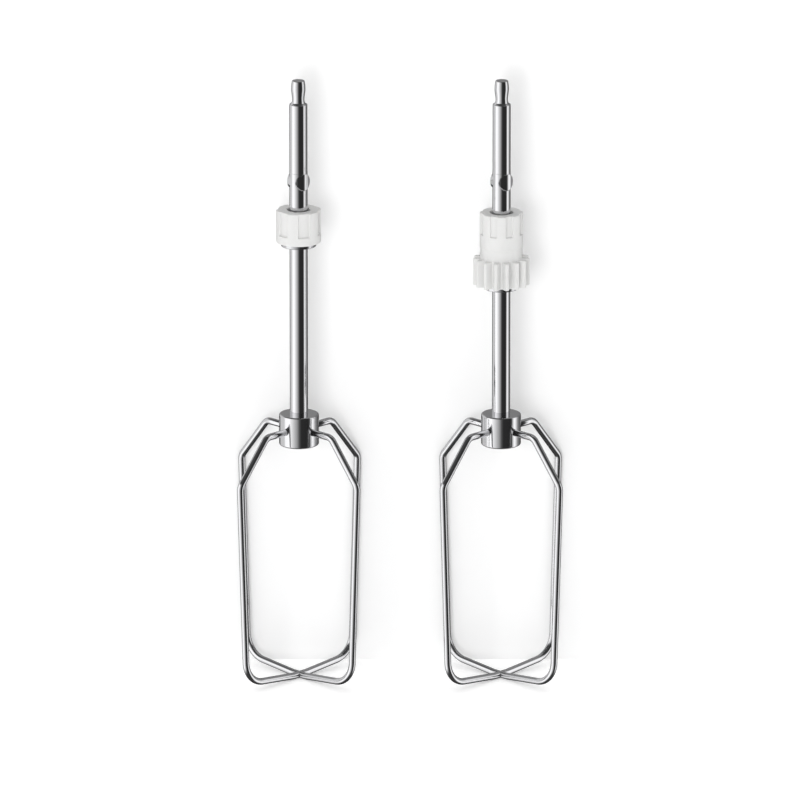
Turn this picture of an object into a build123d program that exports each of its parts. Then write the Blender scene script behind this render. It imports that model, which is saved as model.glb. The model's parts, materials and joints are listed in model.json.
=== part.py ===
# A pair of wire beaters for a hand mixer, standing upright on their wires.
# The left one has a plain slotted collar. The right one's collar carries a toothed ring.
# Millimetres, +Z up along the shafts, origin on the floor midway between the two shafts.
from build123d import *
from math import cos, radians, sin, sqrt
import os

os.makedirs("parts", exist_ok=True)

# Driving dimensions
shaft_spacing = 67.0
wire_azimuths = (45.0, -45.0)  # directions of the two wire loops, from +X

wire_r = 1.13
wire_start_r = 3.1  # the wire ends stop just short of the shaft
bend_r = 15.1  # radial distance of the first bend
bend_z = 86.2  # the wire runs level from the hub to this bend
cage_r = 27.3  # wire centre line at the shoulders
shoulder_z = 71.6
corner_r = 24.65  # foot corner, before it is rounded
corner_z = 3.1
level_r = 3.0  # the foot runs dip to a short level stretch where the loops cross
bend_round = 3.5
shoulder_round = 3.5
corner_round = 8.5
level_round = 8.0

hub_r = 6.6
hub_bottom = 81.0
hub_top = 91.65
hub_edge = 0.4

shaft_r = 3.0  # where the hub, washer and collar are pressed on
shaft_foot = 81.5
shank_r = 2.97  # running seat above the ears, for a 6 mm socket
shank_taper_bottom = 174.4
shank_bottom = 175.1
step_z = 197.65  # shoulder below the retaining tip
step_edge = 0.25
neck_r = 2.02
neck_z = 199.2
bulb_r = 2.36
bulb_z = 202.7
tip_r = 1.8
tip_z = 205.65

ear_z = 171.35
ear_azimuth = -57.0  # direction that the front ear's face looks in, from +X
ear_r = 2.77  # the round punch that presses each ear sideways out of the rod
ear_face = 2.7  # face centre to shaft axis
ear_offset = 0.55  # punch centre, sideways from the axis
ear_dome = 4.6  # radius of the domed face

washer_r = 5.8
washer_t = 1.4
washer_edge = 0.2

plain_r = 7.4
plain_bottom = 150.7
plain_top = 161.7
plain_slots = 6
plain_slot_angle = 30.0
plain_slot_phase = 15.0

gear_head_r = 7.15
gear_head_bottom = 148.9
gear_top = 160.7
gear_slots = 8
gear_slot_angle = 19.0
gear_slot_phase = 22.0
sleeve_r = 6.95

teeth = 15
module_mm = 1.1
gear_bottom = 136.1
gear_face_top = 145.2
tooth_tip_r = module_mm * (teeth + 2) / 2
tooth_pitch_r = module_mm * teeth / 2
tooth_tip_half = 0.45
tooth_pitch_half = 0.87
tooth_root_half = 1.25
tooth_phase = -78.0  # direction of one tooth, from +X

slot_floor = 153.6
slot_depth = 0.6
collar_edge = 0.35
mouth_r = 3.75  # clearance round the shaft at the collar's top
mouth_depth = 2.5
keyway_r = 4.1
keyway_width = 1.7
keyway_azimuth = -16.0


def shaft_axis(axis_x):
    return Axis((axis_x, 0, 0), (0, 0, 1))


def profile_plane(axis_x):
    # local x is the radius along +X, local y is the height
    return Plane(origin=(axis_x, 0, 0), x_dir=(1, 0, 0), z_dir=(0, -1, 0))


def level(axis_x, height, turned=0.0):
    # horizontal plane centred on one shaft, its local x turned from +X
    direction = (cos(radians(turned)), sin(radians(turned)), 0)
    return Plane(origin=(axis_x, 0, height), x_dir=direction, z_dir=(0, 0, 1))


def write(part, name):
    part.label = name
    export_step(part, f"parts/{name}.step")


def ear_plane(axis_x, azimuth):
    # vertical plane through the shaft: local x is sideways, local y is up, it looks along the ear's face
    sideways = (-sin(radians(azimuth)), cos(radians(azimuth)), 0)
    facing = (cos(radians(azimuth)), sin(radians(azimuth)), 0)
    return Plane(origin=(axis_x, 0, ear_z), x_dir=sideways, z_dir=facing)


def punch_cut(axis_x, azimuth):
    with BuildPart() as punch:
        with BuildSketch(ear_plane(axis_x, azimuth)):
            with Locations((ear_offset, 0)):
                Circle(ear_r)
        extrude(amount=shaft_r + 1)
    return punch.part


def pressed_ear(axis_x, azimuth):
    # a domed front face whose sideways end stands out of the rod, cut to the punch's round outline
    inner = ear_offset - ear_r
    outer = ear_offset + ear_r
    edge = ear_face - ear_dome + sqrt(ear_dome**2 - ear_r**2)
    with BuildPart() as ear:
        with BuildSketch(level(axis_x, ear_z - ear_r, azimuth + 90)):
            with BuildLine():
                face = ThreePointArc((inner, -edge), (ear_offset, -ear_face), (outer, -edge))
                flank = Line(face @ 1, (shaft_r, 0))
                back = Line(flank @ 1, (inner, 0))
                Line(back @ 1, face @ 0)
            make_face()
        extrude(amount=2 * ear_r)
        with BuildSketch(ear_plane(axis_x, azimuth)):
            with Locations((ear_offset, 0)):
                Circle(ear_r)
        extrude(amount=ear_face, mode=Mode.INTERSECT)
    return ear.part


def make_shaft(name, axis_x):
    with BuildPart() as shaft:
        with BuildSketch(profile_plane(axis_x)):
            with BuildLine():
                crown = Polyline((0, tip_z), (tip_r, tip_z))
                nose = ThreePointArc(crown @ 1, (tip_r + 0.2, tip_z - 0.1), (tip_r + 0.3, tip_z - 0.35))
                bulb = Spline(
                    nose @ 1,
                    (bulb_r, bulb_z),
                    (neck_r, neck_z),
                    (neck_r + 0.45, step_z),
                    tangents=[(0.25, -1), (1, -0.2)],
                )
                step = Line(bulb @ 1, (shank_r - step_edge, step_z))
                corner = Line(step @ 1, (shank_r, step_z - step_edge))
                shank = Line(corner @ 1, (shank_r, shank_bottom))
                taper = Line(shank @ 1, (shaft_r, shank_taper_bottom))
                side = Line(taper @ 1, (shaft_r, shaft_foot))
                foot = Line(side @ 1, (0, shaft_foot))
                Line(foot @ 1, crown @ 0)
            make_face()
        revolve(axis=shaft_axis(axis_x))
        for azimuth in (ear_azimuth, ear_azimuth + 180):
            add(punch_cut(axis_x, azimuth), mode=Mode.SUBTRACT)
            add(pressed_ear(axis_x, azimuth))
    write(shaft.part, name)


def bore_cut(axis_x, bottom, top):
    # straight bore, wider mouth round the shaft, and four keyways
    with BuildPart() as bore:
        with BuildSketch(level(axis_x, bottom)):
            Circle(shaft_r)
        extrude(amount=top - bottom)
        with BuildSketch(level(axis_x, top - mouth_depth, keyway_azimuth)):
            Circle(mouth_r)
            SlotOverall(2 * keyway_r, keyway_width)
            SlotOverall(2 * keyway_r, keyway_width, rotation=90)
        extrude(amount=mouth_depth)
    return bore.part


def slots_cut(axis_x, outer_r, top, count, angle, phase):
    # shallow slots down the outside, open at the top, each a sector between two radii
    half = radians(angle / 2)
    outer = outer_r + 1
    with BuildSketch() as sector:
        with BuildLine():
            floor_arc = CenterArc((0, 0), outer_r - slot_depth, -angle / 2, angle)
            left = Line(floor_arc @ 1, (outer * cos(half), outer * sin(half)))
            rim = Line(left @ 1, (outer * cos(half), -outer * sin(half)))
            Line(rim @ 1, floor_arc @ 0)
        make_face()
    with BuildPart() as slots:
        with BuildSketch(level(axis_x, slot_floor, phase - 90)):
            with PolarLocations(0, count):
                add(sector.sketch)
        extrude(amount=top - slot_floor)
    return slots.part


def make_plain_collar(name, axis_x):
    slots = slots_cut(
        axis_x, plain_r, plain_top, plain_slots, plain_slot_angle, plain_slot_phase
    )
    with BuildPart() as collar:
        with BuildSketch(level(axis_x, plain_bottom)):
            Circle(plain_r)
        extrude(amount=plain_top - plain_bottom)
        chamfer(collar.edges().filter_by(GeomType.CIRCLE), collar_edge)
        add(slots, mode=Mode.SUBTRACT)
        add(bore_cut(axis_x, plain_bottom, plain_top), mode=Mode.SUBTRACT)
    write(collar.part, name)


def make_gear_collar(name, axis_x):
    slots = slots_cut(
        axis_x, gear_head_r, gear_top, gear_slots, gear_slot_angle, gear_slot_phase
    )
    crest_r = tooth_tip_r - 0.05
    root_r = sleeve_r - 0.4
    with BuildSketch() as tooth:
        with BuildLine():
            flank = ThreePointArc(
                (root_r, tooth_root_half), (tooth_pitch_r, tooth_pitch_half), (crest_r, tooth_tip_half)
            )
            crest = ThreePointArc(flank @ 1, (tooth_tip_r, 0), (crest_r, -tooth_tip_half))
            other = ThreePointArc(
                crest @ 1, (tooth_pitch_r, -tooth_pitch_half), (root_r, -tooth_root_half)
            )
            Line(other @ 1, flank @ 0)
        make_face()
    with BuildPart() as collar:
        with BuildSketch(level(axis_x, gear_bottom)):
            Circle(sleeve_r)
        extrude(amount=gear_head_bottom - gear_bottom)
        with BuildSketch(level(axis_x, gear_head_bottom)):
            Circle(gear_head_r)
        extrude(amount=gear_top - gear_head_bottom)
        chamfer(collar.faces().sort_by(Axis.Z)[-1].edges(), collar_edge)
        add(slots, mode=Mode.SUBTRACT)
        with BuildSketch(level(axis_x, gear_bottom, tooth_phase)):
            Circle(sleeve_r)
            with PolarLocations(0, teeth):
                add(tooth.sketch)
        extrude(amount=gear_face_top - gear_bottom)
        add(bore_cut(axis_x, gear_bottom, gear_top), mode=Mode.SUBTRACT)
    write(collar.part, name)


def make_washer(name, axis_x, top):
    with BuildPart() as washer:
        with BuildSketch(level(axis_x, top - washer_t)):
            Circle(washer_r)
        extrude(amount=washer_t)
        chamfer(washer.edges().filter_by(GeomType.CIRCLE), washer_edge)
        with BuildSketch(level(axis_x, top - washer_t)):
            Circle(shaft_r)
        extrude(amount=washer_t, mode=Mode.SUBTRACT)
    write(washer.part, name)


def wire_plane(axis_x, azimuth):
    # vertical plane through the shaft: local x is the radius, local y is the height
    along = (cos(radians(azimuth)), sin(radians(azimuth)), 0)
    facing = (sin(radians(azimuth)), -cos(radians(azimuth)), 0)
    return Plane(origin=(axis_x, 0, 0), x_dir=along, z_dir=facing)


def wire_loop(axis_x, azimuth):
    # out of the hub, over the shoulder, down, across the foot and back up the other side
    half = [
        (wire_start_r, bend_z),
        (bend_r, bend_z),
        (cage_r, shoulder_z),
        (corner_r, corner_z),
        (level_r, wire_r),
    ]
    route = half + [(-r, z) for r, z in reversed(half)]
    rounds = [bend_round, shoulder_round, corner_round, level_round]
    plane = wire_plane(axis_x, azimuth)
    with BuildPart() as loop:
        with BuildLine(plane):
            path = FilletPolyline(*route, radius=rounds + rounds[::-1])
        with BuildSketch(Plane(origin=path @ 0, z_dir=path % 0)):
            Circle(wire_r)
        sweep()
    return loop.part


def make_wire(name, axis_x, azimuth, other_azimuth, cut_side):
    # the loops cross on one level, so each gives way to the other on one side of the centre line
    with BuildPart() as other_half:
        add(wire_loop(axis_x, other_azimuth))
        with Locations((axis_x, 0, wire_r + cut_side * wire_r)):
            Box(8 * wire_r, 8 * wire_r, 2 * wire_r, mode=Mode.INTERSECT)
    with BuildPart() as wire:
        add(wire_loop(axis_x, azimuth))
        add(other_half.part, mode=Mode.SUBTRACT)
    write(wire.part, name)


def make_hub(name, axis_x, azimuths):
    with BuildPart() as hub:
        with BuildSketch(level(axis_x, hub_bottom)):
            Circle(hub_r)
        extrude(amount=hub_top - hub_bottom)
        chamfer(hub.edges().filter_by(GeomType.CIRCLE), hub_edge)
        with BuildSketch(level(axis_x, shaft_foot)):
            Circle(shaft_r)
        extrude(amount=hub_top - shaft_foot, mode=Mode.SUBTRACT)
        for azimuth in azimuths:
            add(wire_loop(axis_x, azimuth), mode=Mode.SUBTRACT)
    write(hub.part, name)


beaters = {
    "plain": (-shaft_spacing / 2, plain_bottom),
    "gear": (shaft_spacing / 2, gear_bottom),
}
azimuth_a, azimuth_b = wire_azimuths

for kind, (axis_x, collar_bottom) in beaters.items():
    make_shaft(f"{kind}_shaft", axis_x)
    make_washer(f"{kind}_washer", axis_x, collar_bottom)
    make_hub(f"{kind}_hub", axis_x, wire_azimuths)
    make_wire(f"{kind}_wire_a", axis_x, azimuth_a, azimuth_b, 1)
    make_wire(f"{kind}_wire_b", axis_x, azimuth_b, azimuth_a, -1)

make_plain_collar("plain_collar", beaters["plain"][0])
make_gear_collar("gear_collar", beaters["gear"][0])
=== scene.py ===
import bpy
import json
import math
import numpy as np
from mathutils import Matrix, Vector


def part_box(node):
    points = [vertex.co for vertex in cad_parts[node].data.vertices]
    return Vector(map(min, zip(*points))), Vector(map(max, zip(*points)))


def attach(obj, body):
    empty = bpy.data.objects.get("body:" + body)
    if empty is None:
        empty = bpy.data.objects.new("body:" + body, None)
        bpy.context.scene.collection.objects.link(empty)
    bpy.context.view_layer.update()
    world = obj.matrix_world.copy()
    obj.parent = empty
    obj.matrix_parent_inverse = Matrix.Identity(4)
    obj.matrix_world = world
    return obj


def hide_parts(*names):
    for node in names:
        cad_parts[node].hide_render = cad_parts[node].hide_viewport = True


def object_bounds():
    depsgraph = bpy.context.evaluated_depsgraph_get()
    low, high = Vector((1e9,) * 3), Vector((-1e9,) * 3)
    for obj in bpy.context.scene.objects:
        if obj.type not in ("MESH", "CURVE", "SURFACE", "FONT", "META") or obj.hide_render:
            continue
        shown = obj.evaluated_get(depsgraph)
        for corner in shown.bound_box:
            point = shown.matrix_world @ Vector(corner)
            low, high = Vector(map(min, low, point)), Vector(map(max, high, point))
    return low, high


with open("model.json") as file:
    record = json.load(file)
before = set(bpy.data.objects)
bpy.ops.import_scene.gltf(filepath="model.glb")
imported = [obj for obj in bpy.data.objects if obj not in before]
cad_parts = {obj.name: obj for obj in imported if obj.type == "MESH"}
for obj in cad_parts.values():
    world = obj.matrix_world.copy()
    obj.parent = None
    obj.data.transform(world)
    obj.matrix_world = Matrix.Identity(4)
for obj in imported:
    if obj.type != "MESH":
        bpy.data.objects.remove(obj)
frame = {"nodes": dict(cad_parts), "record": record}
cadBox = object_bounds()
mm = 0.001
print("frame loaded:", ", ".join(sorted(frame["nodes"])))


# Lengths below are millimetres and angles degrees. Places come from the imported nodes.
def boxOf(node):
    low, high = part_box(node)
    return np.array(low) / mm, np.array(high) / mm


def axisOf(node):
    low, high = boxOf(node)
    return (low + high)[:2] / 2


def smoothStep(x):
    # 3 x squared minus 2 x cubed, held at 0 and 1 outside
    x = np.clip(x, 0, 1)
    return x * x * (3 - 2 * x)


def smoothMin(a, b, blend):
    # the smaller of two surfaces, with the edge between them rounded over the blend distance
    mix = np.clip(0.5 + 0.5 * (b - a) / blend, 0, 1)
    return b + (a - b) * mix - blend * mix * (1 - mix)


def smoothMax(a, b, blend):
    return -smoothMin(-a, -b, blend)


def turnFrom(theta, phase, count=1):
    # signed angle in radians from the nearest of count equal directions, the first at phase degrees
    period = 2 * math.pi / count
    return (theta - math.radians(phase) + period / 2) % period - period / 2


def roundedLine(corners, rounds, arcStep=8.0, support=0.06):
    # A polyline whose corners become arcs. An arc starts and ends at radius times tan(half the turn) from
    # its corner, and a support point stands just outside each end so that flats stay flat in shading.
    corners = [np.array(c, float) for c in corners]
    line = [corners[0]]
    for before, corner, after, radius in zip(corners, corners[1:], corners[2:], rounds):
        u = (before - corner) / np.linalg.norm(before - corner)
        v = (after - corner) / np.linalg.norm(after - corner)
        turn = math.pi - math.acos(np.clip(u @ v, -1, 1))
        back = radius * math.tan(turn / 2)
        centre = corner + (u + v) / np.linalg.norm(u + v) * radius / math.cos(turn / 2)
        first, last = corner + u * back - centre, corner + v * back - centre
        steps = max(3, math.ceil(math.degrees(turn) / arcStep))
        s = np.linspace(0, 1, steps + 1)[:, None]
        arc = centre + (np.sin((1 - s) * turn) * first + np.sin(s * turn) * last) / math.sin(turn)
        line += [corner + u * (back + support), *arc, corner + v * (back + support)]
    line.append(corners[-1])
    return np.array(line)


def smoothCurve(points, perSpan):
    # Catmull-Rom: each span is the cubic through its two points with slopes set by their neighbours
    p = np.array(points, float)
    p = np.vstack([2 * p[0] - p[1], p, 2 * p[-1] - p[-2]])
    t = np.linspace(0, 1, perSpan, endpoint=False)[:, None, None]
    a, b, c, d = p[:-3], p[1:-2], p[2:-1], p[3:]
    curve = b + 0.5 * t * (c - a + t * (2 * a - 5 * b + 4 * c - d + t * (3 * b - a - 3 * c + d)))
    return np.vstack([curve.transpose(1, 0, 2).reshape(-1, p.shape[1]), p[-2:-1]])


def gridMesh(name, points, wrapRows=False):
    # Rows by columns of points become quads, the columns wrapping round. Rows either wrap too, or each
    # open end is closed with a fan to a pole at the end row's middle.
    rows, columns = points.shape[:2]
    index = np.arange(rows * columns).reshape(rows, columns)
    below = index if wrapRows else index[:-1]
    above = np.roll(index, -1, axis=0) if wrapRows else index[1:]
    quads = np.stack([below, np.roll(below, -1, 1), np.roll(above, -1, 1), above], axis=-1)
    faces = quads.reshape(-1, 4).tolist()
    vertices = points.reshape(-1, 3)
    if not wrapRows:
        poles = np.array([points[0].mean(axis=0), points[-1].mean(axis=0)])
        start, end = np.full(columns, len(vertices)), np.full(columns, len(vertices) + 1)
        faces += np.stack([np.roll(index[0], -1), index[0], start], axis=-1).tolist()
        faces += np.stack([index[-1], np.roll(index[-1], -1), end], axis=-1).tolist()
        vertices = np.vstack([vertices, poles])
    mesh = bpy.data.meshes.new(name)
    mesh.from_pydata(vertices * mm, [], faces)
    mesh.shade_smooth()
    mesh.update()
    return mesh


def turned(centre, radius, height):
    # Radius and height grids, rows by columns, stand round a vertical axis at centre.
    columns = radius.shape[1]
    theta = np.arange(columns) * 2 * math.pi / columns
    x = centre[0] + radius * np.cos(theta)
    y = centre[1] + radius * np.sin(theta)
    return np.stack([x, y, np.broadcast_to(height, radius.shape)], axis=-1)


def addPiece(name, mesh, material, node):
    piece = bpy.data.objects.new(name, mesh)
    bpy.context.scene.collection.objects.link(piece)
    mesh.materials.append(material)
    body = next(b for b, nodes in frame["record"]["behaviour"]["bodies"].items() if node in nodes)
    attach(piece, body)
    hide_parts(node)
    return piece


# Materials
def toLinear(hexColour):
    # sRGB to linear: c / 12.92 below 0.04045, else ((c + 0.055) / 1.055) to the power 2.4
    c = np.array([int(hexColour[i:i + 2], 16) for i in (0, 2, 4)]) / 255
    linear = np.where(c <= 0.04045, c / 12.92, ((c + 0.055) / 1.055) ** 2.4)
    return (*linear.tolist(), 1.0)


def addNode(tree, kind, settings=None, links=None):
    # one node, its properties and unlinked inputs from settings, its linked inputs from links
    node = tree.nodes.new(kind)
    for key, value in (settings or {}).items():
        if isinstance(key, str) and hasattr(node, key):
            setattr(node, key, value)
        else:
            node.inputs[key].default_value = value
    for key, source in (links or {}).items():
        tree.links.new(source, node.inputs[key])
    return node


def newMaterial(name):
    material = bpy.data.materials.new(name)
    material.use_nodes = True
    material.node_tree.nodes.clear()
    return material, material.node_tree


def finishMaterial(tree, shader):
    addNode(tree, "ShaderNodeOutputMaterial", links={"Surface": shader.outputs[0]})


steelLook = {
    "colour": "D9D9DB",
    "roughness": 0.05,
    "roughnessSpread": 0.04,
    "polishLine": 0.35,  # spacing of the fine lines left by polishing; drawn coarser than the real 0.05
    "polishDepth": 0.0006,
    "smearSize": 9.0,
}


def makeSteel(name, look):
    # Bright plated steel, polished on a wheel: a neutral mirror with faint rings round the axis and soft
    # smears that only change how sharp the reflections are.
    material, tree = newMaterial(name)
    place = addNode(tree, "ShaderNodeTexCoord")
    rings = addNode(
        tree, "ShaderNodeMapping",
        {"Scale": (20, 20, 1000 / look["polishLine"])},
        {"Vector": place.outputs["Object"]},
    )
    lines = addNode(
        tree, "ShaderNodeTexNoise", {"Scale": 1.0, "Detail": 3.0, "Roughness": 0.6},
        {"Vector": rings.outputs["Vector"]},
    )
    smear = addNode(
        tree, "ShaderNodeTexNoise",
        {"Scale": 1000 / look["smearSize"], "Detail": 4.0, "Roughness": 0.55},
        {"Vector": place.outputs["Object"]},
    )
    gloss = addNode(
        tree, "ShaderNodeMapRange",
        {
            "From Min": 0.35, "From Max": 0.75,
            "To Min": look["roughness"], "To Max": look["roughness"] + look["roughnessSpread"],
        },
        {"Value": smear.outputs[0]},
    )
    bump = addNode(
        tree, "ShaderNodeBump", {"Strength": 0.5, "Distance": look["polishDepth"] * mm},
        {"Height": lines.outputs[0]},
    )
    shader = addNode(
        tree, "ShaderNodeBsdfPrincipled",
        {"Base Color": toLinear(look["colour"]), "Metallic": 1.0},
        {"Roughness": gloss.outputs[0], "Normal": bump.outputs[0]},
    )
    finishMaterial(tree, shader)
    return material


nylonLook = {
    "colour": "DCDCDB",
    "shade": "D6D6D5",
    "roughness": 0.42,
    "grain": 0.25,
    "grainDepth": 0.004,
    "glow": 0.12,
    "glowDepth": 0.8,
}


def makeNylon(name, look):
    # White nylon, injection moulded: satin, a little translucent, with the mould's fine spark texture.
    material, tree = newMaterial(name)
    place = addNode(tree, "ShaderNodeTexCoord")
    grain = addNode(
        tree, "ShaderNodeTexNoise", {"Scale": 1000 / look["grain"], "Detail": 2.0},
        {"Vector": place.outputs["Object"]},
    )
    flow = addNode(
        tree, "ShaderNodeTexNoise", {"Scale": 160.0, "Detail": 3.0},
        {"Vector": place.outputs["Object"]},
    )
    tint = addNode(
        tree, "ShaderNodeMix",
        {"data_type": "RGBA", 6: toLinear(look["colour"]), 7: toLinear(look["shade"])},
        {0: flow.outputs[0]},
    )
    bump = addNode(
        tree, "ShaderNodeBump", {"Strength": 0.6, "Distance": look["grainDepth"] * mm},
        {"Height": grain.outputs[0]},
    )
    shader = addNode(
        tree, "ShaderNodeBsdfPrincipled",
        {
            "Roughness": look["roughness"], "IOR": 1.53,
            "Subsurface Weight": look["glow"], "Subsurface Scale": look["glowDepth"] * mm,
            "Subsurface Radius": (1.0, 0.95, 0.9),
        },
        {"Base Color": tint.outputs[2], "Normal": bump.outputs[0]},
    )
    finishMaterial(tree, shader)
    return material


shaftSteel = makeSteel("polishedSteelShaft", steelLook)
wireSteel = makeSteel("brightPlatedWire", {**steelLook, "roughness": 0.07, "smearSize": 5.0})
hubSteel = makeSteel("platedTurnedHub", {**steelLook, "roughness": 0.06, "polishDepth": 0.0009})
washerSteel = makeSteel("platedWasher", {**steelLook, "colour": "CFCFD1", "roughness": 0.14})
nylon = makeNylon("mouldedWhiteNylon", nylonLook)
print("materials made")


# Shaft: one turned rod with a retaining tip, and two drive ears pressed sideways out of it by a round punch
shaftShape = {
    "columns": 384,
    "radius": 3.0,
    "endHole": 1.0,  # where the foot's flat end hands over to its pole
    "crownHole": 0.6,
    "shankRadius": 2.97,
    "shankTaper": (174.4, 175.1),
    "stepHeight": 197.65,
    "stepRound": 0.22,
    "footRound": 0.3,
    "tip": [(2.62, 197.69), (2.14, 198.35), (2.02, 199.45), (2.18, 201.0), (2.35, 202.5), (2.3, 204.1)],
    "crownRadius": 2.08,
    "crownRound": 0.3,
    "earHeight": 171.35,
    "earFacing": -57.0,
    "earRadius": 2.77,
    "earOffset": 0.55,
    "earFace": 2.7,
    "earDome": 4.6,
    "earRow": 0.06,
    "earEdge": 0.12,
    "earMargin": 0.2,  # plain rod above and below the ear that still has fine rows
}


def makeShaft(kind):
    s = shaftShape
    node = kind + "_shaft"
    low, high = boxOf(node)
    z = s["earHeight"]
    reach = s["earRadius"] + s["earMargin"]
    foot = roundedLine(
        [(s["endHole"], low[2]), (s["radius"], low[2]), (s["radius"], z - reach)], [s["footRound"]]
    )
    waist = z + np.arange(-reach + s["earRow"], reach, s["earRow"])
    waist = np.stack([np.full(len(waist), s["radius"]), waist], axis=-1)
    taper = s["shankTaper"]
    shank = roundedLine(
        [
            (s["shankRadius"], taper[1]),
            (s["shankRadius"], s["stepHeight"]),
            (s["tip"][0][0] + 0.01, s["stepHeight"]),
        ],
        [s["stepRound"]],
    )
    bulb = smoothCurve(s["tip"], 8)
    crown = roundedLine(
        [s["tip"][-1], (s["crownRadius"], high[2]), (s["crownHole"], high[2])], [s["crownRound"]],
        support=0.03,
    )[1:]
    seat = np.array([(s["radius"], z + reach), (s["radius"], taper[0])])
    profile = np.vstack([foot, waist, seat, shank, bulb, crown])
    theta = np.arange(s["columns"]) * 2 * math.pi / s["columns"]
    # Along the ray at angle phi from the ear's own facing, the domed face is met where its circle is: with
    # c the distance from the dome's centre line, r = m + root(m^2 + dome^2 - c^2), m the ray's part of c.
    # Sideways of the rod the ear ends at the punch's round outline, half its width over sin(phi), and its
    # back runs straight from its tip to the rod: radius over (sin(phi) less slant times cos(phi)).
    phi = turnFrom(theta, s["earFacing"], 2)
    across, along = np.sin(phi), np.cos(phi)
    dome, offset, face = s["earDome"], s["earOffset"], s["earFace"]
    part = offset * across - (dome - face) * along
    cut = part + np.sqrt(part ** 2 + dome ** 2 - offset ** 2 - (dome - face) ** 2)
    rise = profile[:, 1:] - z
    half = np.sqrt(np.clip(s["earRadius"] ** 2 - rise ** 2, 0, None))
    rod = profile[:, :1]
    tipDepth = face - dome + math.sqrt(dome ** 2 - s["earRadius"] ** 2)
    slant = (offset + s["earRadius"] - s["radius"]) / tipDepth
    flank = s["radius"] / np.maximum(across - slant * along, 1e-4)
    tip = np.minimum((offset + half) / np.maximum(across, 1e-4), flank)
    wing = np.where(across > 0.2, smoothMin(np.broadcast_to(cut, tip.shape), tip, s["earEdge"]), 0)
    lateral = np.minimum(cut, rod) * across - offset
    inside = smoothStep((half - np.abs(lateral)) / s["earEdge"] + 0.5) * (half > 0)
    radius = rod + (np.minimum(cut, rod) - rod) * inside
    radius = np.where((half > 0) & (wing > rod), wing, radius)
    mesh = gridMesh(node + "Skin", turned(axisOf(kind + "_hub"), radius, profile[:, 1:]))
    return addPiece(kind + "Shaft", mesh, shaftSteel, node)


# Hub: a plated barrel on the shaft's foot, with rounded edges; the wires run straight into its side
hubShape = {
    "columns": 320,
    "edgeRound": 0.6,
    "endHole": 1.0,
    "topHole": 2.9,  # lies inside the shaft
}


def makeHub(kind):
    s = hubShape
    node = kind + "_hub"
    low, high = boxOf(node)
    radius = (high - low)[0] / 2
    profile = roundedLine(
        [(s["endHole"], low[2]), (radius, low[2]), (radius, high[2]), (s["topHole"], high[2])],
        [s["edgeRound"], s["edgeRound"]],
    )
    grid = turned(axisOf(node), np.repeat(profile[:, :1], s["columns"], 1), profile[:, 1:])
    return addPiece(kind + "Hub", gridMesh(node + "Skin", grid), hubSteel, node)


# Wire loops: one round wire bent in a vertical plane, its ends in opposite holes of the hub
wireShape = {
    "radius": 1.13,
    "ringPoints": 36,
    "arcStep": 3.5,
    "startRadius": 3.1,
    "bend": (15.1, 86.2),
    "shoulder": (27.3, 71.6),
    "corner": (24.65, 3.1),
    "levelRadius": 3.0,
    "rounds": [3.5, 3.5, 8.5, 8.0],
}


def makeWire(kind, letter, azimuth):
    s = wireShape
    node = kind + "_wire_" + letter
    foot = boxOf(node)[0][2] + s["radius"]
    half = [(s["startRadius"], s["bend"][1]), s["bend"], s["shoulder"], s["corner"]]
    half.append((s["levelRadius"], foot))
    corners = half + [(-r, z) for r, z in reversed(half)]
    route = roundedLine(corners, s["rounds"] + s["rounds"][::-1], s["arcStep"], 0.3)
    # The ring at each point spans the in-plane normal n and the level direction b, with n cross b along
    # the wire: point + radius (cos(a) n + sin(a) b).
    straight = np.linalg.norm(np.diff(route, axis=0), axis=1)
    before, after = np.r_[straight[:1], straight], np.r_[straight, straight[-1:]]
    steps = np.diff(route, axis=0) / straight[:, None]
    stepIn, stepOut = np.vstack([steps[:1], steps]), np.vstack([steps, steps[-1:]])
    along = stepIn * after[:, None] + stepOut * before[:, None]
    along /= np.linalg.norm(along, axis=1)[:, None]
    c, d = math.cos(math.radians(azimuth)), math.sin(math.radians(azimuth))
    outward = np.array([c, d, 0.0])
    up = np.array([0.0, 0.0, 1.0])
    level = np.array([d, -c, 0.0])
    centre = np.array([*axisOf(kind + "_hub"), 0.0])
    line = centre + route[:, :1] * outward + route[:, 1:] * up
    tangent = along[:, :1] * outward + along[:, 1:] * up
    normal = np.cross(level, tangent)
    a = np.arange(s["ringPoints"]) * 2 * math.pi / s["ringPoints"]
    ring = np.cos(a)[None, :, None] * normal[:, None] + np.sin(a)[None, :, None] * level
    mesh = gridMesh(node + "Skin", line[:, None] + s["radius"] * ring)
    return addPiece(kind + "Wire" + letter.upper(), mesh, wireSteel, node)


# Washer: a thick pressed ring under the collar
washerShape = {"columns": 160, "edgeRound": 0.2, "boreRound": 0.05}


def makeWasher(kind):
    s = washerShape
    node = kind + "_washer"
    low, high = boxOf(node)
    radius = (high - low)[0] / 2
    inner = shaftShape["radius"]
    profile = roundedLine(
        [
            (inner, high[2]), (inner, low[2]), (radius, low[2]),
            (radius, high[2]), (inner, high[2]),
        ],
        [s["boreRound"], s["edgeRound"], s["edgeRound"]],
    )[:-1]
    grid = turned(axisOf(node), np.repeat(profile[:, :1], s["columns"], 1), profile[:, 1:])
    return addPiece(kind + "Washer", gridMesh(node + "Skin", grid, True), washerSteel, node)


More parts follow.
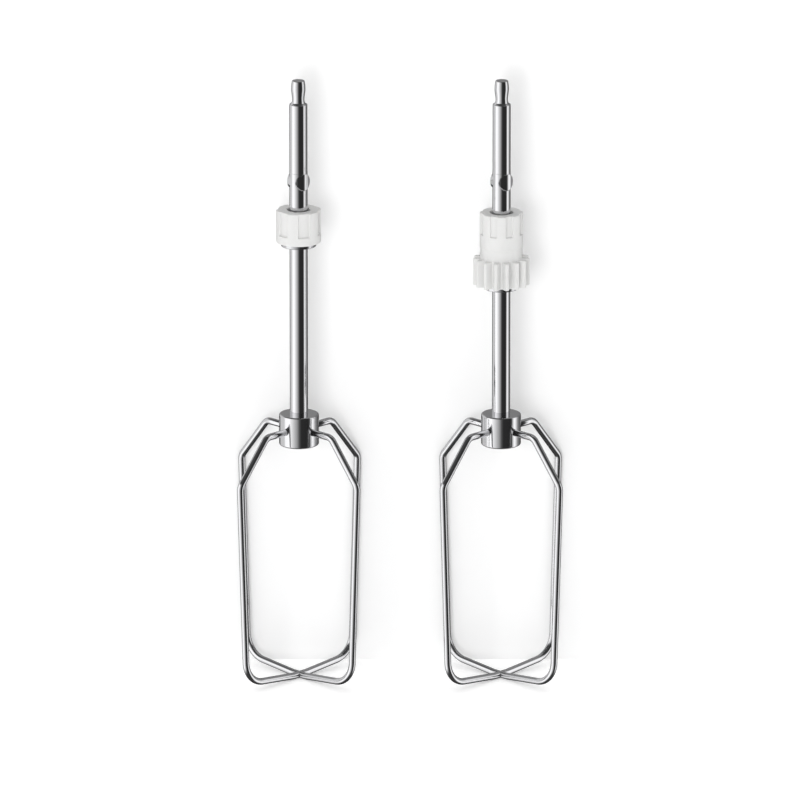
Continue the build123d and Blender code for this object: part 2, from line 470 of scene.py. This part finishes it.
# Collars: one profile carried round the shaft. Each row has a radius, a height and how much of the three
# patterns round the axis it takes: teeth standing out, slots cut in, keyways in the mouth.
collarShape = {
    "columns": 720,
    "slotFloor": 153.6,
    "slotDepth": 0.6,
    "topRound": 0.35,
    "mouthRadius": 3.75,
    "mouthDepth": 2.5,
    "mouthRound": 0.15,
    "keyReach": 4.1,
    "keyWidth": 1.7,
    "keyFacing": -16.0,
    # height from the slot's floor, and how much of the slot is cut there
    "slotStart": [(-0.3, 0), (-0.06, 0), (-0.02, 0.25), (0.03, 0.85), (0.1, 1), (0.3, 1)],
    "plain": {"radius": 7.4, "slots": 6, "slotAngle": 30.0, "slotPhase": -75.0},
    "gear": {"radius": 7.15, "slots": 8, "slotAngle": 19.0, "slotPhase": -68.0},
}
ringShape = {
    "teeth": 15,
    "sleeveRadius": 6.95,
    "faceTop": 145.2,
    "headBottom": 148.9,
    "tipRadius": 9.35,
    "toothPhase": -78.0,
    "flank": ([0, 2.77, 6.04, 9.5, 12], [10.1, 9.3, 8.25, 6.95, 6.2]),
    "crestRound": 0.25,
    "rootRound": 0.3,
    # height from the ring's bottom or top, and how much of the teeth stands out there
    "bottomEdge": [(0.01, 0.2), (0.02, 0.92), (0.06, 0.97), (0.2, 1), (0.4, 1)],
    "topEdge": [
        (-0.5, 1), (-0.25, 1), (-0.12, 0.985), (-0.03, 0.95), (0, 0.9), (0.01, 0.8), (0.04, 0.12),
        (0.1, 0.04), (0.3, 0), (0.5, 0),
    ],
}


def slotPattern(theta, s):
    # 1 inside a slot, 0 on a rib, over a ramp of one degree
    off = np.degrees(np.abs(turnFrom(theta, s["slotPhase"], s["slots"])))
    return smoothStep((s["slotAngle"] / 2 + 0.5 - off) / 1.0)


def keyPattern(theta):
    # a keyway ends in a half circle, seen from the axis at distance c cos(phi) + root(w^2 - (c sin(phi))^2)
    s = collarShape
    w = s["keyWidth"] / 2
    c = s["keyReach"] - w
    phi = turnFrom(theta, s["keyFacing"], 4)
    edge = c * np.cos(phi) + np.sqrt(np.clip(w ** 2 - (c * np.sin(phi)) ** 2, 0, None))
    return np.where(np.abs(c * np.sin(phi)) < w, np.maximum(edge - s["mouthRadius"], 0), 0)


def toothPattern(theta):
    # how far the toothed outline stands out of the sleeve: straight flanks between a rounded crest and root
    s = ringShape
    off = np.degrees(np.abs(turnFrom(theta, s["toothPhase"], s["teeth"])))
    outline = smoothMin(np.interp(off, *s["flank"]), s["tipRadius"], s["crestRound"])
    return smoothMax(outline, s["sleeveRadius"], s["rootRound"]) - s["sleeveRadius"]


def headRows(radius, top):
    # from below the slots to the bore: slotted wall, rounded rim, top face and mouth
    s = collarShape
    depth, rim, lip = s["slotDepth"], s["topRound"], s["mouthRound"]
    floorRadius = radius - depth
    z = s["slotFloor"]
    rows = [(radius, z + rise, 0, share * depth, 0) for rise, share in s["slotStart"]]
    rows.append((radius, top - rim - 0.1, 0, depth, 0))
    for a in np.radians(np.linspace(0, 90, 8)):
        r = radius - rim + rim * math.cos(a)
        rows.append((r, top - rim + rim * math.sin(a), 0, r - floorRadius, 0))
    rows += [(floorRadius + 0.05, top, 0, 0.06, 0), (floorRadius - 0.06, top, 0, 0, 0)]
    rows += [(s["keyReach"] + 0.5, top, 0, 0, 0), (s["mouthRadius"] + lip + 0.1, top, 0, 0, 1)]
    for a in np.radians(np.linspace(0, 90, 5)):
        rows.append((s["mouthRadius"] + lip - lip * math.sin(a), top - lip + lip * math.cos(a), 0, 0, 1))
    deep = top - s["mouthDepth"]
    rows += [(s["mouthRadius"], top - lip - 0.1, 0, 0, 1), (s["mouthRadius"], deep + 0.05, 0, 0, 1)]
    rows += [(s["mouthRadius"] - 0.05, deep, 0, 0, 1), (shaftShape["radius"], deep, 0, 0, 0)]
    return rows


def makeCollar(kind):
    s = {**collarShape, **collarShape[kind]}
    node = kind + "_collar"
    low, high = boxOf(node)
    bottom, top, inner = low[2], high[2], shaftShape["radius"]
    rows = [(inner, bottom + 0.1, 0, 0, 0), (inner + 0.1, bottom, 0, 0, 0)]
    if kind == "plain":
        rim = s["topRound"]
        rows += [(s["radius"] - rim - 0.1, bottom, 0, 0, 0)]
        for a in np.radians(np.linspace(0, 90, 8)):
            rows.append((s["radius"] - rim + rim * math.sin(a), bottom + rim - rim * math.cos(a), 0, 0, 0))
        rows += [(s["radius"], bottom + rim + 0.1, 0, 0, 0)]
    else:
        r, face, head = ringShape["sleeveRadius"], ringShape["faceTop"], ringShape["headBottom"]
        rows.append((r - 0.3, bottom, 0, 0, 0))
        rows += [(r, bottom + rise, share, 0, 0) for rise, share in ringShape["bottomEdge"]]
        rows += [(r, face + rise, share, 0, 0) for rise, share in ringShape["topEdge"]]
        rows += [(r, head - 0.2, 0, 0, 0), (r + 0.03, head - 0.06, 0, 0, 0)]
        rows += [(s["radius"] - 0.03, head + 0.04, 0, 0, 0), (s["radius"], head + 0.2, 0, 0, 0)]
        rows.append((s["radius"], head + 0.4, 0, 0, 0))
    rows += headRows(s["radius"], top)
    base, height, tooth, slot, key = np.array(rows).T[:, :, None]
    theta = np.arange(s["columns"]) * 2 * math.pi / s["columns"]
    radius = base + tooth * toothPattern(theta) - slot * slotPattern(theta, s) + key * keyPattern(theta)
    grid = turned(axisOf(node), radius, height)
    return addPiece(kind + "Collar", gridMesh(node + "Skin", grid, True), nylon, node)


for kind in ("plain", "gear"):
    makeShaft(kind)
    makeHub(kind)
    makeWire(kind, "a", 45)
    makeWire(kind, "b", -45)
    makeWasher(kind)
    makeCollar(kind)
    print(kind, "beater made")


# Camera: long lens, 16 degrees above level, aimed at the middle of the shafts' length
cameraPlan = {
    "lens": 607.5, "sensor": 36.0, "distance": 4475.0, "elevation": 16.0, "aim": (0.0, 0.0, 96.2),
}
tilt = math.radians(cameraPlan["elevation"])
camera = bpy.data.objects.new("camera", bpy.data.cameras.new("camera"))
camera.data.lens = cameraPlan["lens"]
camera.data.sensor_width = cameraPlan["sensor"]
camera.data.clip_start, camera.data.clip_end = 0.05, 20
back = np.array([0, -math.cos(tilt), math.sin(tilt)]) * cameraPlan["distance"]
camera.location = (np.array(cameraPlan["aim"]) + back) * mm
camera.rotation_euler = (math.pi / 2 - tilt, 0, 0)
bpy.context.scene.collection.objects.link(camera)
bpy.context.scene.camera = camera


# Stage: a white floor, and a white card standing close behind the wires to catch their soft shadows
stagePlan = {
    "floorSize": 3000.0, "cardGap": 0.3, "cardWidth": 900.0, "cardHeight": 700.0, "floorGlow": 0.3,
    "paper": "F6F6F6",
}


def makeStage(name, corners, glow, seeThroughBack):
    # matt white paper; the card shows only its front, so it never hides the beaters from behind
    material, tree = newMaterial(name + "Paper")
    paper = addNode(tree, "ShaderNodeBsdfDiffuse", {"Color": toLinear(stagePlan["paper"])})
    light = addNode(tree, "ShaderNodeEmission", {"Strength": glow})
    shader = addNode(tree, "ShaderNodeAddShader", links={0: paper.outputs[0], 1: light.outputs[0]})
    if seeThroughBack:
        side = addNode(tree, "ShaderNodeNewGeometry")
        clear = addNode(tree, "ShaderNodeBsdfTransparent")
        shader = addNode(
            tree, "ShaderNodeMixShader",
            links={0: side.outputs["Backfacing"], 1: shader.outputs[0], 2: clear.outputs[0]},
        )
    finishMaterial(tree, shader)
    mesh = bpy.data.meshes.new(name)
    mesh.from_pydata(np.array(corners) * mm, [], [(0, 1, 2, 3)])
    mesh.materials.append(material)
    stage = bpy.data.objects.new(name, mesh)
    bpy.context.scene.collection.objects.link(stage)
    stage.visible_glossy = False
    return stage


half = stagePlan["floorSize"] / 2
makeStage(
    "floor", [(-half, -half, 0), (half, -half, 0), (half, half, 0), (-half, half, 0)],
    stagePlan["floorGlow"], False,
)
cardY = cadBox[1][1] / mm + stagePlan["cardGap"]
wide, tall = stagePlan["cardWidth"] / 2, stagePlan["cardHeight"]
makeStage(
    "card", [(-wide, cardY, 0), (wide, cardY, 0), (wide, cardY, tall), (-wide, cardY, tall)],
    0.0, True,
)

# Light: a broad soft box in front on the left, and a room whose mirror image in the steel has soft boxes
# at the sides, a dark gap beyond the right front and a dark ceiling
keyPlan = {"azimuth": -11.5, "elevation": 6.5, "distance": 1400.0, "size": 550.0, "energy": 7.0}
key = bpy.data.objects.new("keyLight", bpy.data.lights.new("keyLight", "AREA"))
key.data.shape = "SQUARE"
key.data.size = keyPlan["size"] * mm
key.data.energy = keyPlan["energy"]
key.visible_glossy = False
a, e = math.radians(keyPlan["azimuth"]), math.radians(keyPlan["elevation"])
away = np.array([math.sin(a) * math.cos(e), -math.cos(a) * math.cos(e), math.sin(e)])
key.location = (np.array(cameraPlan["aim"]) + away * keyPlan["distance"]) * mm
key.rotation_euler = (math.pi / 2 - e, 0, a)
bpy.context.scene.collection.objects.link(key)

roomPlan = {
    "ambient": 0.71,
    "mirrorGain": 1.45,
    # brightness round the beaters against the direction, 0 at the front and 90 on the right
    "walls": [
        (-180, "787878"), (-156, "A0A0A0"), (-132, "BEBEBE"), (-94, "C6C6C6"), (-86, "FAFAFA"),
        (-56, "FFFFFF"), (-50, "ECECEC"), (-37, "D4D4D4"), (-24, "B4B4B4"), (-11, "949494"),
        (1, "525252"), (13, "2A2A2A"), (56, "262626"), (66, "4C4C4C"), (74, "CCCCCC"),
        (84, "FAFAFA"), (95, "E0E0E0"), (104, "B0B0B0"), (116, "787878"), (126, "686868"),
        (180, "747474"),
    ],
    "ceiling": [
        (-180, "808080"), (-140, "5C5C5C"), (-100, "484848"), (-30, "3E3E3E"), (60, "363636"),
        (86, "4A4A4A"), (108, "7C7C7C"), (150, "888888"), (180, "828282"),
    ],
    "ceilingFrom": (0.47, 0.72),
    "ground": "383838",
    "groundFrom": (-0.58, -0.88),
    "bench": "2A2A2A",  # dark bench low behind, which draws the thin dark outlines of the round pieces
    "benchTowards": (0.0, 0.82, -0.57),
    "benchFrom": (0.70, 0.80),
}


def bandRamp(tree, turn, bands):
    # levels against direction, as a ramp over one full turn
    node = addNode(tree, "ShaderNodeValToRGB", links={0: turn})
    stops = node.color_ramp.elements
    while len(stops) < len(bands):
        stops.new(0.5)
    for stop, (angle, level) in zip(stops, bands):
        stop.position = angle / 360 + 0.5
        stop.color = toLinear(level)
    return node.outputs[0]


def makeRoom(plan):
    world = bpy.data.worlds.new("room")
    bpy.context.scene.world = world
    world.use_nodes = True
    tree = world.node_tree
    tree.nodes.clear()
    place = addNode(tree, "ShaderNodeTexCoord")
    parts = addNode(tree, "ShaderNodeSeparateXYZ", links={0: place.outputs["Generated"]})
    front = addNode(tree, "ShaderNodeMath", {"operation": "MULTIPLY", 1: -1.0}, {0: parts.outputs["Y"]})
    # angle round the vertical, as a fraction of a full turn with the front at one half
    around = addNode(
        tree, "ShaderNodeMath", {"operation": "ARCTAN2"}, {0: parts.outputs["X"], 1: front.outputs[0]}
    )
    turn = addNode(
        tree, "ShaderNodeMath",
        {"operation": "MULTIPLY_ADD", 1: 1 / (2 * math.pi), 2: 0.5}, {0: around.outputs[0]},
    )
    walls = bandRamp(tree, turn.outputs[0], plan["walls"])
    ceiling = bandRamp(tree, turn.outputs[0], plan["ceiling"])
    low, high = plan["ceilingFrom"]
    above = addNode(
        tree, "ShaderNodeMapRange", {"interpolation_type": "SMOOTHSTEP", "From Min": low, "From Max": high},
        {"Value": parts.outputs["Z"]},
    )
    low, high = plan["groundFrom"]
    below = addNode(
        tree, "ShaderNodeMapRange", {"interpolation_type": "SMOOTHSTEP", "From Min": low, "From Max": high},
        {"Value": parts.outputs["Z"]},
    )
    upper = addNode(
        tree, "ShaderNodeMix", {"data_type": "RGBA"}, {0: above.outputs[0], 6: walls, 7: ceiling}
    )
    whole = addNode(
        tree, "ShaderNodeMix", {"data_type": "RGBA", 7: toLinear(plan["ground"])},
        {0: below.outputs[0], 6: upper.outputs[2]},
    )
    nearness = addNode(
        tree, "ShaderNodeVectorMath", {"operation": "DOT_PRODUCT", 1: plan["benchTowards"]},
        {0: place.outputs["Generated"]},
    )
    low, high = plan["benchFrom"]
    behind = addNode(
        tree, "ShaderNodeMapRange", {"interpolation_type": "SMOOTHSTEP", "From Min": low, "From Max": high},
        {"Value": nearness.outputs["Value"]},
    )
    whole = addNode(
        tree, "ShaderNodeMix", {"data_type": "RGBA", 7: toLinear(plan["bench"])},
        {0: behind.outputs[0], 6: whole.outputs[2]},
    )
    mirror = addNode(
        tree, "ShaderNodeBackground", {"Strength": plan["mirrorGain"]}, {"Color": whole.outputs[2]}
    )
    soft = addNode(tree, "ShaderNodeBackground", {"Color": (1, 1, 1, 1), "Strength": plan["ambient"]})
    plain = addNode(tree, "ShaderNodeBackground", {"Color": (1, 1, 1, 1)})
    ray = addNode(tree, "ShaderNodeLightPath")
    seen = addNode(
        tree, "ShaderNodeMixShader",
        links={0: ray.outputs["Is Glossy Ray"], 1: soft.outputs[0], 2: mirror.outputs[0]},
    )
    seen = addNode(
        tree, "ShaderNodeMixShader",
        links={0: ray.outputs["Is Camera Ray"], 1: seen.outputs[0], 2: plain.outputs[0]},
    )
    addNode(tree, "ShaderNodeOutputWorld", links={"Surface": seen.outputs[0]})


makeRoom(roomPlan)
bpy.context.scene.view_settings.view_transform = "Standard"
print("camera, stage and light set")
